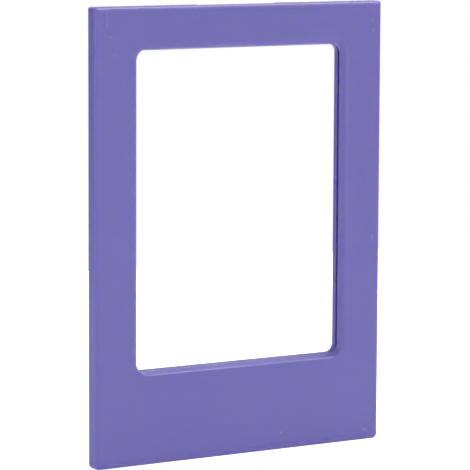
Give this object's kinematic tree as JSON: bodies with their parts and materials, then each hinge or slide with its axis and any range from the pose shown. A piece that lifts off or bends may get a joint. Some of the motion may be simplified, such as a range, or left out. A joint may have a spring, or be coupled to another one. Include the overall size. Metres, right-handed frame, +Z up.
{
  "type": "magnetic photo frame",
  "caption": "Slim magnetic frame for a small instant print: rounded front moulding with an open window, back plate with a print slot from the top edge, and disc magnets in the side rails.",
  "frame": {"origin": "on the back face, in the middle of the wide lower border, where the frame lies against the steel that holds it", "axes": "+Z up the frame's height, -Y towards the viewer in front, +X to the viewer's right; +Y points out of the back face"},
  "size_m": [0.0666, 0.0032, 0.09],
  "materials": {
    "front_moulding": "violet, satin gloss, as moulded",
    "back_moulding": "violet, fine satin, as moulded",
    "magnet_plating": "bright nickel plate"
  },
  "bodies": {
    "root": {"front_frame": "front_moulding", "back_plate": "back_moulding", "magnet_top_left": "magnet_plating", "magnet_top_right": "magnet_plating", "magnet_middle_left": "magnet_plating", "magnet_middle_right": "magnet_plating", "magnet_bottom_left": "magnet_plating", "magnet_bottom_right": "magnet_plating"}
  },
  "joints": []
}
